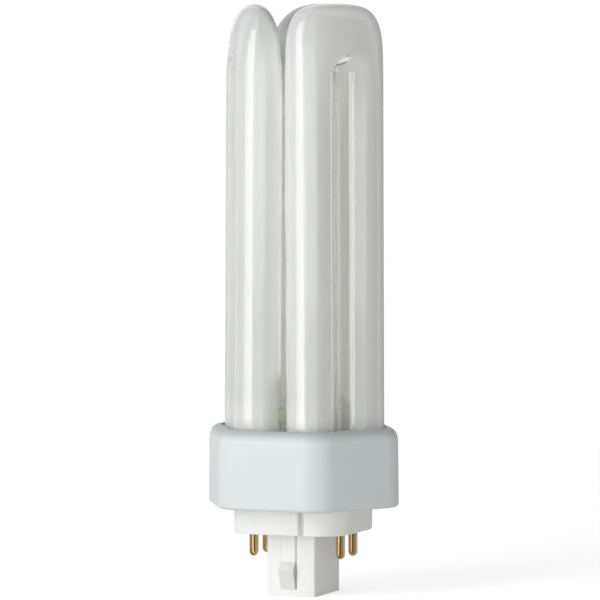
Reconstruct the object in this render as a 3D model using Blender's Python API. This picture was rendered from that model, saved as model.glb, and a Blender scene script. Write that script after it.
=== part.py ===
"""Four pin compact fluorescent lamp: three glass U tubes, a moulded collar and a plug-in base.

The lamp stands on the end of its post. The origin is the centre of that end face, +Z runs
up the lamp's axis, the latched faces of the post look along -Y and +Y, and the wide
spacing of the pins runs along X. Each U tube is modelled upright in its own frame, with X
across its two legs, +Y away from the lamp's axis and Z = 0 at the collar's rim.
"""

import math

import bmesh
import bpy
from mathutils import Matrix, Vector

MM = 0.001

# Heights, from the end of the post upwards
POST_LENGTH = 15.7 * MM
RING_HEIGHT = 6.6 * MM
COLLAR_HEIGHT = 19.7 * MM
GLASS_ABOVE_COLLAR = 105.0 * MM

# Gap kept between neighbouring pieces
FIT_GAP = 0.3 * MM

# Glass tubes
TUBE_RADIUS = 5.95 * MM
SLOT_WIDTH = 4.0 * MM
NEIGHBOUR_GAP = 2.3 * MM
TUBE_LEAN = math.radians(0.3)
CROWN_DEPTH = 15.0 * MM
# How square each top is, from the rear U tube on round: 2 is an ellipse, more is squarer
TOP_SQUARENESS = (2.5, 2.7, 3.8)
# Where a top's section is widest, as a share of its height, and how much fuller it is made
TOP_BULGE = 0.16
TOP_FULLNESS = 0.25
BRIDGE_RADIUS = 3.0 * MM
BRIDGE_HEIGHT = 4.0 * MM
FOOT_DOME_HEIGHT = 4.0 * MM
FOOT_CLEARANCE = 4.0 * MM
SEAL_HALF_THICKNESS = 1.6 * MM
SEAL_HEIGHT = 3.0 * MM
SEAL_SHOULDER = 4.0 * MM
EXHAUST_RADIUS = 1.4 * MM
EXHAUST_LENGTH = 2.2 * MM

# Collar around the feet of the glass
COLLAR_CORNER_RADIUS = 8.0 * MM
COLLAR_DRAFT = 0.2 * MM
COLLAR_BOTTOM_EDGE = 0.9 * MM
GLASS_CLEARANCE = 0.95 * MM
RIM_WALL = 3.0 * MM
RIM_FLAT = 0.4 * MM
RIM_EDGE_HEIGHT = 3.4 * MM
RECESS_DEPTH = 3.0 * MM
DECK_THICKNESS = 2.0 * MM
COLLAR_WALL = 2.0 * MM
POCKET_WALL = 1.2 * MM
CEMENT_DEPTH = 4.0 * MM

# Base: ring, post and the flange that closes the collar
RING_WALL = 1.6 * MM
RING_CORNER_RADIUS = 8.2 * MM
RING_DRAFT = 0.1 * MM
RING_EDGE = 0.4 * MM
FLOOR_THICKNESS = 2.5 * MM
FLANGE_THICKNESS = 2.0 * MM
KEY_WIDTH = 1.5 * MM
KEY_DEPTH = 1.8 * MM
KEY_OFFSET = 5.3 * MM
KEY_WALL = 1.1 * MM
POST_WIDTH = 12.7 * MM
POST_DEPTH = 16.9 * MM
POST_WALL = 1.3 * MM
POST_END_WALL = 1.2 * MM
POST_EDGE = 0.3 * MM
POST_END_CHAMFER = 0.15 * MM
LATCH_WIDTH = 3.8 * MM
LATCH_OFFSET = 0.7 * MM
LATCH_SLIT = 0.45 * MM
LATCH_SLIT_BOTTOM = 1.7 * MM
WEDGE_BOTTOM = 1.2 * MM
WEDGE_RIDGE = 6.4 * MM
WEDGE_TOP = 8.8 * MM
WEDGE_DEPTH = 1.7 * MM
WEDGE_FLAT = 0.5 * MM

# Contact pins and the wires inside them
PIN_RADIUS = 1.15 * MM
PIN_LENGTH_SHOWN = 6.5 * MM
PIN_SPACING_X = 23.2 * MM
PIN_SPACING_Y = 8.6 * MM
PIN_BORE_RADIUS = 0.65 * MM
PIN_TIP_WALL = 1.6 * MM
PIN_SHOULDER_WIDTH = 0.55 * MM
PIN_SHOULDER_HEIGHT = 0.8 * MM
PIN_TAIL = 2.2 * MM
WIRE_RADIUS = 0.3 * MM
WIRE_SPACING = 4.8 * MM
WIRE_OVER_FLANGE = 1.7 * MM
WIRE_ENTRY = 1.6 * MM

# How finely curves are divided
GLASS_SIDES = 24
BEND_STEPS = 20
CORNER_STEPS = 6
EDGE_STEPS = 5
PIN_SIDES = 16
WIRE_STEPS = 12
SMOOTH_ANGLE = math.radians(38)
# How far cutters and joined solids reach past the face that they cut or join
OVERLAP = 1.0 * MM

# Levels and sizes that follow from the values above
RING_Z = POST_LENGTH
FLOOR_Z = RING_Z + FLOOR_THICKNESS
COLLAR_Z = RING_Z + RING_HEIGHT
FLANGE_TOP_Z = COLLAR_Z + FLANGE_THICKNESS
RIM_Z = COLLAR_Z + COLLAR_HEIGHT
DECK_TOP_Z = RIM_Z - RECESS_DEPTH
DECK_BOTTOM_Z = DECK_TOP_Z - DECK_THICKNESS
CEMENT_TOP_Z = DECK_BOTTOM_Z - FIT_GAP
CEMENT_BOTTOM_Z = CEMENT_TOP_Z - CEMENT_DEPTH
FOOT_Z = FLANGE_TOP_Z + FOOT_CLEARANCE
PIN_TIP_Z = RING_Z - PIN_LENGTH_SHOWN
PIN_SHOULDER_Z = FLOOR_Z + FIT_GAP
PIN_TOP_Z = PIN_SHOULDER_Z + PIN_SHOULDER_HEIGHT + PIN_TAIL
SLOT_HALF_WIDTH = SLOT_WIDTH / 2
HALF_SPACING = TUBE_RADIUS + SLOT_HALF_WIDTH
NEIGHBOUR_SPACING = 2 * TUBE_RADIUS + NEIGHBOUR_GAP
# In three U tubes a third of a turn apart, neighbouring legs lie this far apart at the rim
TUBE_OFFSET = (NEIGHBOUR_SPACING + HALF_SPACING) / math.sqrt(3)
GLASS_REACH = math.hypot(TUBE_OFFSET, HALF_SPACING) + TUBE_RADIUS
COLLAR_HALF_WIDTH = GLASS_REACH + GLASS_CLEARANCE + RIM_WALL
RIM_EDGE_WIDTH = RIM_WALL - COLLAR_DRAFT - RIM_FLAT
PIN_HOLE_RADIUS = PIN_RADIUS + FIT_GAP
PIN_SHOULDER_RADIUS = PIN_RADIUS + PIN_SHOULDER_WIDTH
RING_HALF_WIDTH = PIN_SPACING_X / 2 + PIN_SHOULDER_RADIUS + FIT_GAP + RING_WALL

# The three U tubes in order round the lamp, as turns about its axis from the rear one
TUBE_TURNS = [math.radians(angle) for angle in (0, 120, 240)]
# Each bridge runs from the left leg of this U tube to the right leg of the next
BRIDGED_TUBES = (1, 2)
# The two legs that hold an electrode, as U tube and side, end in a flat pinch seal
SEALED_LEGS = ((0, -1), (1, 1))
# The leg that ends in the nipped exhaust tube
EXHAUST_LEG = (0, 1)


def clear_scene():
    for item in list(bpy.data.objects):
        bpy.data.objects.remove(item, do_unlink=True)


def make_material(name, colour, roughness, metallic=0.0):
    material = bpy.data.materials.new(name)
    material.use_nodes = True
    shader = material.node_tree.nodes["Principled BSDF"]
    shader.inputs["Base Color"].default_value = (*colour, 1.0)
    shader.inputs["Roughness"].default_value = roughness
    shader.inputs["Metallic"].default_value = metallic
    return material


def make_object(name, bm, material=None):
    """Turn a bmesh into an object of the scene, with all faces pointing out."""
    bmesh.ops.recalc_face_normals(bm, faces=bm.faces)
    mesh = bpy.data.meshes.new(name)
    bm.to_mesh(mesh)
    bm.free()
    mesh.shade_smooth()
    mesh.set_sharp_from_angle(angle=SMOOTH_ANGLE)
    thing = bpy.data.objects.new(name, mesh)
    bpy.context.scene.collection.objects.link(thing)
    if material is not None:
        mesh.materials.append(material)
    return thing


def make_cutter(name, bm):
    """A guide for a Boolean: drawn as wire and never rendered."""
    cutter = make_object(name, bm)
    cutter.hide_render = True
    cutter.display_type = "WIRE"
    return cutter


def add_boolean(thing, operation, operand):
    modifier = thing.modifiers.new(f"{operation.title()} {operand.name}", "BOOLEAN")
    modifier.operation = operation
    modifier.solver = "EXACT"
    modifier.object = operand


def loft(bm, rings):
    """Skin a run of closed rings that have equal numbers of points, and cap both ends."""
    loops = [[bm.verts.new(point) for point in ring] for ring in rings]
    count = len(loops[0])
    for first, second in zip(loops, loops[1:]):
        for i in range(count):
            j = (i + 1) % count
            bm.faces.new((first[i], first[j], second[j], second[i]))
    bm.faces.new(reversed(loops[0]))
    bm.faces.new(loops[-1])


def outward_angle(start, end):
    """Direction, as an angle, that faces away from an edge of a polygon listed anticlockwise."""
    return math.atan2(start[0] - end[0], end[1] - start[1])


def rounded_polygon(centres, radius, z):
    """Outline whose corners are arcs of one radius about centres listed anticlockwise."""
    points = []
    for i, centre in enumerate(centres):
        start = outward_angle(centres[i - 1], centre)
        end = outward_angle(centre, centres[(i + 1) % len(centres)])
        sweep = (end - start) % (2 * math.pi)
        for step in range(CORNER_STEPS + 1):
            angle = start + sweep * step / CORNER_STEPS
            x = centre[0] + radius * math.cos(angle)
            y = centre[1] + radius * math.sin(angle)
            points.append(Vector((x, y, z)))
    return points


def rounded_rectangle(half_x, half_y, radius, z):
    x = half_x - radius
    y = half_y - radius
    return rounded_polygon([(x, y), (-x, y), (-x, -y), (x, -y)], radius, z)


def collar_outline(inset, z):
    """The collar's rounded hexagon, a given way inside its outer face, corners on the X axis."""
    reach = COLLAR_HALF_WIDTH - COLLAR_CORNER_RADIUS
    angles = [math.radians(60 * i) for i in range(6)]
    centres = [(reach * math.cos(angle), reach * math.sin(angle)) for angle in angles]
    return rounded_polygon(centres, COLLAR_CORNER_RADIUS - inset, z)


def ring_outline(inset, z):
    half = RING_HALF_WIDTH - inset
    return rounded_rectangle(half, half, RING_CORNER_RADIUS - inset, z)


def circle(radius, z, sides, centre=(0.0, 0.0)):
    angles = [2 * math.pi * i / sides for i in range(sides)]
    return [
        Vector((centre[0] + radius * math.cos(angle), centre[1] + radius * math.sin(angle), z))
        for angle in angles
    ]


def rounded_edge(width, height):
    """Inset and rise of the points of a quarter ellipse, from a flat face round to a wall."""
    points = []
    for step in range(EDGE_STEPS + 1):
        angle = math.pi / 2 * step / EDGE_STEPS
        points.append((width * (1 - math.sin(angle)), height * (1 - math.cos(angle))))
    return points


def add_box(bm, low, high):
    size = [high[i] - low[i] for i in range(3)]
    centre = [(high[i] + low[i]) / 2 for i in range(3)]
    place = Matrix.Translation(centre) @ Matrix.Diagonal((*size, 1.0))
    bmesh.ops.create_cube(bm, size=1.0, matrix=place)


def add_tube(bm, start, end, radius, sides):
    """A round bar between two points."""
    along = end - start
    turn = along.to_track_quat("Z", "Y").to_matrix().to_4x4()
    place = Matrix.Translation((start + end) / 2) @ turn
    bmesh.ops.create_cone(bm, cap_ends=True, segments=sides, radius1=radius, radius2=radius,
                          depth=along.length, matrix=place)


def tube_frame(index):
    """Place of one U tube: turned round the lamp, set out from its axis and leaning in."""
    turn = Matrix.Rotation(TUBE_TURNS[index], 4, "Z")
    shift = Matrix.Translation((0.0, TUBE_OFFSET, RIM_Z))
    return turn @ shift @ Matrix.Rotation(TUBE_LEAN, 4, "X")


def leg_point(index, side, across, z):
    """World place of a point of a leg, given across from its centre line and at a height."""
    return tube_frame(index) @ Vector((side * HALF_SPACING + across, 0.0, z - RIM_Z))


def section(inner, outer, half_depth, bulge=0.5, power=2.0):
    """Ring of a U tube between a point on the side of its slot and one on its outside.

    It is widest at the given share of the way from the slot, and is half a superellipse on
    either side of that, so that 0.5 and a power of 2 give a round tube.
    """
    middle = inner.lerp(outer, bulge)
    points = []
    for i in range(GLASS_SIDES):
        angle = 2 * math.pi * i / GLASS_SIDES
        end = outer if math.cos(angle) > 0 else inner
        along = abs(math.cos(angle)) ** (2 / power)
        aside = math.copysign(abs(math.sin(angle)) ** (2 / power), math.sin(angle))
        point = middle + (end - middle) * along
        points.append(point + Vector((0.0, half_depth * aside, 0.0)))
    return points


def leg_section(side, z, half_width=TUBE_RADIUS, half_depth=TUBE_RADIUS):
    centre = side * HALF_SPACING
    inner = Vector((centre - side * half_width, 0.0, z))
    outer = Vector((centre + side * half_width, 0.0, z))
    return section(inner, outer, half_depth)


def domed_foot(side):
    """Rings of a leg's closed round end, from its tip upwards."""
    rings = []
    for step in range(1, EDGE_STEPS + 1):
        angle = math.pi / 2 * step / EDGE_STEPS
        z = FOOT_Z - RIM_Z + FOOT_DOME_HEIGHT * (1 - math.cos(angle))
        radius = TUBE_RADIUS * math.sin(angle)
        rings.append(leg_section(side, z, radius, radius))
    return rings


def pinched_foot(side):
    """Rings of a leg's flat seal, pressed shut round its lead wires, from its end upwards."""
    foot = FOOT_Z - RIM_Z
    half_width = TUBE_RADIUS - FIT_GAP
    rings = [
        leg_section(side, foot, half_width, SEAL_HALF_THICKNESS),
        leg_section(side, foot + SEAL_HEIGHT, half_width, SEAL_HALF_THICKNESS),
    ]
    for step in range(1, EDGE_STEPS + 1):
        share = step / EDGE_STEPS
        swell = math.sin(share * math.pi / 2)
        z = foot + SEAL_HEIGHT + SEAL_SHOULDER * share
        width = half_width + (TUBE_RADIUS - half_width) * share
        depth = SEAL_HALF_THICKNESS + (TUBE_RADIUS - SEAL_HALF_THICKNESS) * swell
        rings.append(leg_section(side, z, width, depth))
    return rings


def foot(index, side):
    return pinched_foot(side) if (index, side) in SEALED_LEGS else domed_foot(side)


def bend(squareness):
    """Rings of the squared bend at the top, from the right leg over to the left one."""
    height = CROWN_DEPTH + SLOT_HALF_WIDTH
    half_width = HALF_SPACING + TUBE_RADIUS
    base = Vector((0.0, 0.0, GLASS_ABOVE_COLLAR - height))
    rings = []
    for step in range(BEND_STEPS + 1):
        angle = math.pi * step / BEND_STEPS
        ray = Vector((math.cos(angle), 0.0, math.sin(angle)))
        spread = (abs(ray.x) / half_width) ** squareness + (ray.z / height) ** squareness
        reach = spread ** (-1 / squareness)
        bulge = 0.5 + (TOP_BULGE - 0.5) * ray.z
        power = 2.0 + TOP_FULLNESS * (squareness - 2.0) * ray.z
        inner = base + ray * SLOT_HALF_WIDTH
        rings.append(section(inner, base + ray * reach, TUBE_RADIUS, bulge, power))
    return rings


def add_u_tube(bm, index):
    top = bend(TOP_SQUARENESS[index])
    rings = foot(index, 1) + top + list(reversed(foot(index, -1)))
    place = tube_frame(index)
    loft(bm, [[place @ point for point in ring] for ring in rings])


def add_bridges(bm):
    """The short tubes that join one U tube to the next just above the collar."""
    z = RIM_Z + BRIDGE_HEIGHT
    for index in BRIDGED_TUBES:
        start = leg_point(index, -1, 0.0, z)
        end = leg_point((index + 1) % len(TUBE_TURNS), 1, 0.0, z)
        add_tube(bm, start, end, BRIDGE_RADIUS, GLASS_SIDES)


def add_exhaust_tip(bm):
    index, side = EXHAUST_LEG
    start = leg_point(index, side, 0.0, FOOT_Z + OVERLAP)
    end = leg_point(index, side, 0.0, FOOT_Z - EXHAUST_LENGTH)
    add_tube(bm, start, end, EXHAUST_RADIUS, PIN_SIDES)


def make_discharge_tube():
    """The sealed glass: three U tubes, joined by two bridges into one long path."""
    bm = bmesh.new()
    for index in range(len(TUBE_TURNS)):
        add_u_tube(bm, index)
    glass = make_material("phosphor coated glass", (0.82, 0.84, 0.83), 0.1)
    tube = make_object("discharge_tube", bm, glass)
    bm = bmesh.new()
    add_bridges(bm)
    add_exhaust_tip(bm)
    add_boolean(tube, "UNION", make_cutter("tube_joints", bm))


def make_leg_holes():
    """Cutter for the six holes that the legs pass through, in the deck and in the cement."""
    bm = bmesh.new()
    radius = TUBE_RADIUS + FIT_GAP
    low = CEMENT_BOTTOM_Z - OVERLAP - RIM_Z
    high = DECK_TOP_Z + OVERLAP - RIM_Z
    for index in range(len(TUBE_TURNS)):
        place = tube_frame(index)
        for side in (-1, 1):
            rings = [leg_section(side, z, radius, radius) for z in (low, high)]
            loft(bm, [[place @ point for point in ring] for ring in rings])
    return make_cutter("leg_holes", bm)


def make_tube_collar(leg_holes):
    """The hexagonal collar: a shell open below, with a sunk deck that the legs pass through."""
    ledge_z = FLANGE_TOP_Z + FIT_GAP
    rings = [
        collar_outline(COLLAR_WALL, DECK_BOTTOM_Z),
        collar_outline(COLLAR_WALL, ledge_z),
        collar_outline(POCKET_WALL, ledge_z),
        collar_outline(POCKET_WALL, COLLAR_Z),
    ]
    for inset, rise in rounded_edge(COLLAR_BOTTOM_EDGE, COLLAR_BOTTOM_EDGE):
        rings.append(collar_outline(inset, COLLAR_Z + rise))
    for inset, drop in reversed(rounded_edge(RIM_EDGE_WIDTH, RIM_EDGE_HEIGHT)):
        rings.append(collar_outline(COLLAR_DRAFT + inset, RIM_Z - drop))
    rings.append(collar_outline(RIM_WALL, RIM_Z))
    rings.append(collar_outline(RIM_WALL, DECK_TOP_Z))
    bm = bmesh.new()
    loft(bm, rings)
    plastic = make_material("collar plastic", (0.76, 0.80, 0.80), 0.38)
    collar = make_object("tube_collar", bm, plastic)
    add_boolean(collar, "DIFFERENCE", leg_holes)


def make_bonding_cement(leg_holes):
    """The pad of cement under the deck that holds the six legs."""
    inset = COLLAR_WALL + FIT_GAP
    bm = bmesh.new()
    loft(bm, [collar_outline(inset, CEMENT_BOTTOM_Z), collar_outline(inset, CEMENT_TOP_Z)])
    grey = make_material("cement", (0.62, 0.60, 0.55), 0.9)
    pad = make_object("bonding_cement", bm, grey)
    add_boolean(pad, "DIFFERENCE", leg_holes)


def add_latch_wedge(bm, facing):
    """The snap wedge on the latch tongue of one post face, with a narrow flat on its ridge."""
    face = POST_DEPTH / 2
    profile = [
        (face - POST_WALL / 2, WEDGE_BOTTOM),
        (face, WEDGE_BOTTOM),
        (face + WEDGE_DEPTH, WEDGE_RIDGE - WEDGE_FLAT / 2),
        (face + WEDGE_DEPTH, WEDGE_RIDGE + WEDGE_FLAT / 2),
        (face, WEDGE_TOP),
        (face - POST_WALL / 2, WEDGE_TOP),
    ]
    middle = facing * LATCH_OFFSET
    half = LATCH_WIDTH / 2
    loft(bm, [[Vector((x, facing * y, z)) for y, z in profile] for x in (middle - half, middle + half)])


def make_base_cap():
    """The base: ring, hollow post and flange in one moulding, cut for pins, keys and latches."""
    bm = bmesh.new()
    edge = rounded_edge(RING_EDGE, RING_EDGE)
    rings = [ring_outline(RING_DRAFT + inset, RING_Z + rise) for inset, rise in edge]
    rings.append(ring_outline(0.0, COLLAR_Z + FLANGE_THICKNESS / 2))
    loft(bm, rings)
    plastic = make_material("base plastic", (0.84, 0.85, 0.85), 0.42)
    cap = make_object("base_cap", bm, plastic)

    bm = bmesh.new()
    flange_inset = POCKET_WALL + FIT_GAP
    loft(bm, [collar_outline(flange_inset, z) for z in (COLLAR_Z, FLANGE_TOP_Z)])
    add_boolean(cap, "UNION", make_cutter("flange_solid", bm))

    bm = bmesh.new()
    half_x = POST_WIDTH / 2
    half_y = POST_DEPTH / 2
    end_x = half_x - POST_END_CHAMFER
    end_y = half_y - POST_END_CHAMFER
    loft(bm, [
        rounded_rectangle(end_x, end_y, POST_EDGE - POST_END_CHAMFER, 0.0),
        rounded_rectangle(half_x, half_y, POST_EDGE, POST_END_CHAMFER),
        rounded_rectangle(half_x, half_y, POST_EDGE, RING_Z + FLOOR_THICKNESS / 2),
    ])
    add_boolean(cap, "UNION", make_cutter("post_solid", bm))

    bm = bmesh.new()
    loft(bm, [ring_outline(RING_WALL, z) for z in (FLOOR_Z, FLANGE_TOP_Z + OVERLAP)])
    add_boolean(cap, "DIFFERENCE", make_cutter("ring_hollow", bm))

    bm = bmesh.new()
    low = (POST_WALL - half_x, POST_WALL - half_y, POST_END_WALL)
    high = (half_x - POST_WALL, half_y - POST_WALL, FLOOR_Z + OVERLAP)
    add_box(bm, low, high)
    add_boolean(cap, "DIFFERENCE", make_cutter("post_hollow", bm))

    bm = bmesh.new()
    for facing in (-1, 1):
        add_latch_wedge(bm, facing)
        add_key_pad(bm, facing)
    add_boolean(cap, "UNION", make_cutter("wedges_and_key_pads", bm))

    bm = bmesh.new()
    for facing in (-1, 1):
        add_key_slot(bm, facing)
        add_latch_slits(bm, facing)
    for place in pin_places():
        depth = (RING_Z - OVERLAP, FLOOR_Z + OVERLAP)
        loft(bm, [circle(PIN_HOLE_RADIUS, z, PIN_SIDES, place) for z in depth])
    add_boolean(cap, "DIFFERENCE", make_cutter("keys_slits_and_pin_holes", bm))


def add_key_pad(bm, facing):
    """Wall behind one key slot. The slots are half a turn apart, so one mates either way up."""
    x = -facing * KEY_OFFSET
    half = KEY_WIDTH / 2 + KEY_WALL
    outer = RING_HALF_WIDTH - RING_WALL / 2
    inner = RING_HALF_WIDTH - KEY_DEPTH - KEY_WALL
    ys = sorted((facing * outer, facing * inner))
    z = (RING_Z + FLOOR_THICKNESS / 2, COLLAR_Z + FLANGE_THICKNESS / 2)
    add_box(bm, (x - half, ys[0], z[0]), (x + half, ys[1], z[1]))


def add_key_slot(bm, facing):
    x = -facing * KEY_OFFSET
    half = KEY_WIDTH / 2
    ys = sorted((facing * (RING_HALF_WIDTH + OVERLAP), facing * (RING_HALF_WIDTH - KEY_DEPTH)))
    add_box(bm, (x - half, ys[0], RING_Z - OVERLAP), (x + half, ys[1], COLLAR_Z))


def add_latch_slits(bm, facing):
    """The two slits that free a latch tongue from the post wall, up to the ring."""
    apart = (LATCH_WIDTH + LATCH_SLIT) / 2
    half = LATCH_SLIT / 2
    face = POST_DEPTH / 2
    ys = sorted((facing * (face + WEDGE_DEPTH), facing * (face - POST_WALL - FIT_GAP)))
    for x in (facing * LATCH_OFFSET - apart, facing * LATCH_OFFSET + apart):
        add_box(bm, (x - half, ys[0], LATCH_SLIT_BOTTOM), (x + half, ys[1], RING_Z))


def pin_places():
    """Centres of the four pins, in pairs: the left pair first, front pin before rear."""
    half_x = PIN_SPACING_X / 2
    half_y = PIN_SPACING_Y / 2
    return [(x, y) for x in (-half_x, half_x) for y in (-half_y, half_y)]


def make_contact_pin(name, place, brass):
    """A hollow brass pin with a rounded tip and a shoulder that rests on the base's floor."""
    shoulder_top = PIN_SHOULDER_Z + PIN_SHOULDER_HEIGHT
    profile = [
        (PIN_BORE_RADIUS, PIN_TIP_Z + PIN_TIP_WALL),
        (PIN_BORE_RADIUS, PIN_TOP_Z),
        (PIN_RADIUS, PIN_TOP_Z),
        (PIN_RADIUS, shoulder_top),
        (PIN_SHOULDER_RADIUS, shoulder_top),
        (PIN_SHOULDER_RADIUS, PIN_SHOULDER_Z),
        (PIN_RADIUS, PIN_SHOULDER_Z),
    ]
    for inset, rise in reversed(rounded_edge(PIN_RADIUS, PIN_RADIUS)[1:]):
        profile.append((PIN_RADIUS - inset, PIN_TIP_Z + rise))
    bm = bmesh.new()
    loft(bm, [circle(radius, z, PIN_SIDES, place) for radius, z in profile])
    make_object(name, bm, brass)


def wire_ends():
    """Where each pin's wire enters its seal: each seal serves the two pins of one pair."""
    entries = []
    for index, side in reversed(SEALED_LEGS):
        for across in (-WIRE_SPACING / 2, WIRE_SPACING / 2):
            entries.append(leg_point(index, side, across, FOOT_Z - FIT_GAP))
    return entries


def wire_route(place, entry):
    """Points of a wire: up the bore of its pin, over in one smooth sweep and up to its seal."""
    bottom = Vector((*place, PIN_TIP_Z + PIN_TIP_WALL + FIT_GAP))
    start = Vector((*place, PIN_TOP_Z))
    over = Vector((*place, FLANGE_TOP_Z + WIRE_OVER_FLANGE))
    under = entry - Vector((0.0, 0.0, WIRE_ENTRY))
    controls = [start, over, under, entry]
    points = [bottom]
    for step in range(WIRE_STEPS + 1):
        t = step / WIRE_STEPS
        weights = ((1 - t) ** 3, 3 * t * (1 - t) ** 2, 3 * t ** 2 * (1 - t), t ** 3)
        total = Vector((0.0, 0.0, 0.0))
        for weight, control in zip(weights, controls):
            total += weight * control
        points.append(total)
    return points


def make_lead_wire(name, place, entry, metal):
    curve = bpy.data.curves.new(name, "CURVE")
    curve.dimensions = "3D"
    curve.bevel_depth = WIRE_RADIUS
    curve.bevel_resolution = 2
    curve.use_fill_caps = True
    route = wire_route(place, entry)
    spline = curve.splines.new("POLY")
    spline.points.add(len(route) - 1)
    for point, target in zip(spline.points, route):
        point.co = (*target, 1.0)
    curve.materials.append(metal)
    bpy.context.scene.collection.objects.link(bpy.data.objects.new(name, curve))


def main():
    clear_scene()
    make_discharge_tube()
    leg_holes = make_leg_holes()
    make_tube_collar(leg_holes)
    make_bonding_cement(leg_holes)
    make_base_cap()
    brass = make_material("brass", (0.72, 0.52, 0.26), 0.28, metallic=1.0)
    nickel = make_material("nickel wire", (0.60, 0.58, 0.55), 0.35, metallic=1.0)
    pairs = zip(pin_places(), wire_ends())
    for number, (place, entry) in enumerate(pairs, start=1):
        make_contact_pin(f"contact_pin_{number}", place, brass)
        make_lead_wire(f"lead_wire_{number}", place, entry, nickel)


main()
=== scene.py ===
"""Dresses the four pin compact fluorescent lamp: fine glass, mouldings, pins, and their finishes.

All sizes are in metres. The lamp stands on the end of its post at the origin, +Z up. Each U
tube is modelled upright in its own frame, with X across its legs, +Y away from the lamp's
axis and Z = 0 at the collar's rim, and is then set in its place round the lamp. What the
base has both at the front and at the back is modelled at the front, towards -Y, and copied
half a turn round.
"""

import math

import bmesh
import bpy
from mathutils import Matrix, Vector


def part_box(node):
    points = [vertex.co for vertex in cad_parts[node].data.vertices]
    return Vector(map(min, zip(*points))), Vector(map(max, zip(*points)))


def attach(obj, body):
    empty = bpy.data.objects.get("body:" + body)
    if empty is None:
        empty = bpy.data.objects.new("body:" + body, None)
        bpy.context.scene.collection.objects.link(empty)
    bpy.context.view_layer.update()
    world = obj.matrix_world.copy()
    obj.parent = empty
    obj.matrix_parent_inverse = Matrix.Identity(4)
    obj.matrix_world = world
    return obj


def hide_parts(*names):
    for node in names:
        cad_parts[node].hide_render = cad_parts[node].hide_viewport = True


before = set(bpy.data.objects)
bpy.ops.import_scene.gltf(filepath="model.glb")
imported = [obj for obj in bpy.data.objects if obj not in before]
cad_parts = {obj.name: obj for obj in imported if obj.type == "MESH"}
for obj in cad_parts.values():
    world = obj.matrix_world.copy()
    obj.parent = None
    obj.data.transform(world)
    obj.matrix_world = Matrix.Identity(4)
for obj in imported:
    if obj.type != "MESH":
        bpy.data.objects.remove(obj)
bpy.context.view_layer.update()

MM = 0.001

# Corners within WELD_REACH are made one, and a height within LEVEL_REACH of a level is on it
WELD_REACH = 1e-7
LEVEL_REACH = 1e-6

# Levels and reaches read from the frame
GLASS_LOW, GLASS_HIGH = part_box("discharge_tube")
COLLAR_LOW, COLLAR_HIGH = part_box("tube_collar")
RIM_Z = COLLAR_HIGH.z
COLLAR_Z = COLLAR_LOW.z
COLLAR_HALF_WIDTH = COLLAR_HIGH.x
FLANGE_TOP_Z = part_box("base_cap")[1].z

# Glass
TUBE_RADIUS = 5.95 * MM
SLOT_HALF_WIDTH = 2.0 * MM
HALF_SPACING = TUBE_RADIUS + SLOT_HALF_WIDTH
NEIGHBOUR_GAP = 2.3 * MM
TUBE_OFFSET = (2 * TUBE_RADIUS + NEIGHBOUR_GAP + HALF_SPACING) / math.sqrt(3)
TUBE_LEAN = math.radians(0.3)
TUBE_TURNS = [math.radians(angle) for angle in (0, 120, 240)]
GLASS_SIDES = 64
BEND_STEPS = 48
LEG_STEPS = 8
GLASS_SMOOTHING = math.radians(50)

# Pressed tops of the U tubes: how square each outline is, 2 being round
CROWN_HEIGHT = 17.0 * MM
CROWN_BASE = GLASS_HIGH.z - RIM_Z - CROWN_HEIGHT
ROUND = 2.0
TOP_SQUARENESS = (2.5, 2.7, 3.8)
TOP_BULGE = 0.16
TOP_FULLNESS = 0.25

# The mould seam stands on the corners that lie more than this share of the radius outward
SEAM_SHARE = 0.9999
SEAM_RISE = 0.09 * MM

# Feet of the legs, as pairs of tube and side
SEALED_LEGS = ((0, -1), (1, 1))
EXHAUST_LEG = (0, 1)
FOOT_Z = FLANGE_TOP_Z + 4.0 * MM
FOOT_DOME_HEIGHT = 4.0 * MM
FOOT_STEPS = 8
SEAL_HEIGHT = 3.0 * MM
SEAL_SHOULDER = 4.0 * MM
SEAL_HALF_THICKNESS = 1.6 * MM
SEAL_WIDTH_SHARE = 0.95
EXHAUST_RADIUS = 1.4 * MM
EXHAUST_WAIST = 0.9 * EXHAUST_RADIUS

# Fused necks between the tubes: the two powers say how sharply their ends flare
BRIDGED_TUBES = (1, 2)
BRIDGE_RADIUS = 2.1 * MM
BRIDGE_WAIST = 2.0 * MM
BRIDGE_FLATNESS = 0.2
BRIDGE_Z = RIM_Z + 3.2 * MM
NECK_STEPS = 32
NECK_FLARE_POWER = 4
NECK_ROOT_POWER = 3

# Fold over the front slot, in its tube's frame
FOLDED_TUBE = 2
FOLD_ENDS = (Vector((3.9, 4.0, 90.3)) * MM, Vector((0.0, 5.7, 91.3)) * MM)
FOLD_RADIUS = 0.75 * MM
FOLD_END_RADIUS = FOLD_RADIUS / 8

# Collar
HEXAGON_SIDES = 6
HALF_SIDE_TURN = math.pi / HEXAGON_SIDES
CORNER_RADIUS = 8.0 * MM
CORNER_STEPS = 16
COLLAR_DRAFT = 0.2 * MM
BOTTOM_EDGE = 0.9 * MM
RIM_EDGE_WIDTH = 2.4 * MM
RIM_EDGE_HEIGHT = 3.4 * MM
RIM_FLAT = 0.4 * MM
RECESS_DEPTH = 3.0 * MM
RECESS_FILLET = 0.5 * MM
RECESS_SLOPE = 0.02 * MM
DECK_THICKNESS = 2.0 * MM
POCKET_WALL = 1.2 * MM
POCKET_SLOPE = 0.01 * MM
COLLAR_WALL = 2.0 * MM
LEDGE_RISE = 2.3 * MM
HOLE_GAP = 0.3 * MM
EDGE_STEPS = 8
COLLAR_SMOOTHING = math.radians(35)

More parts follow.
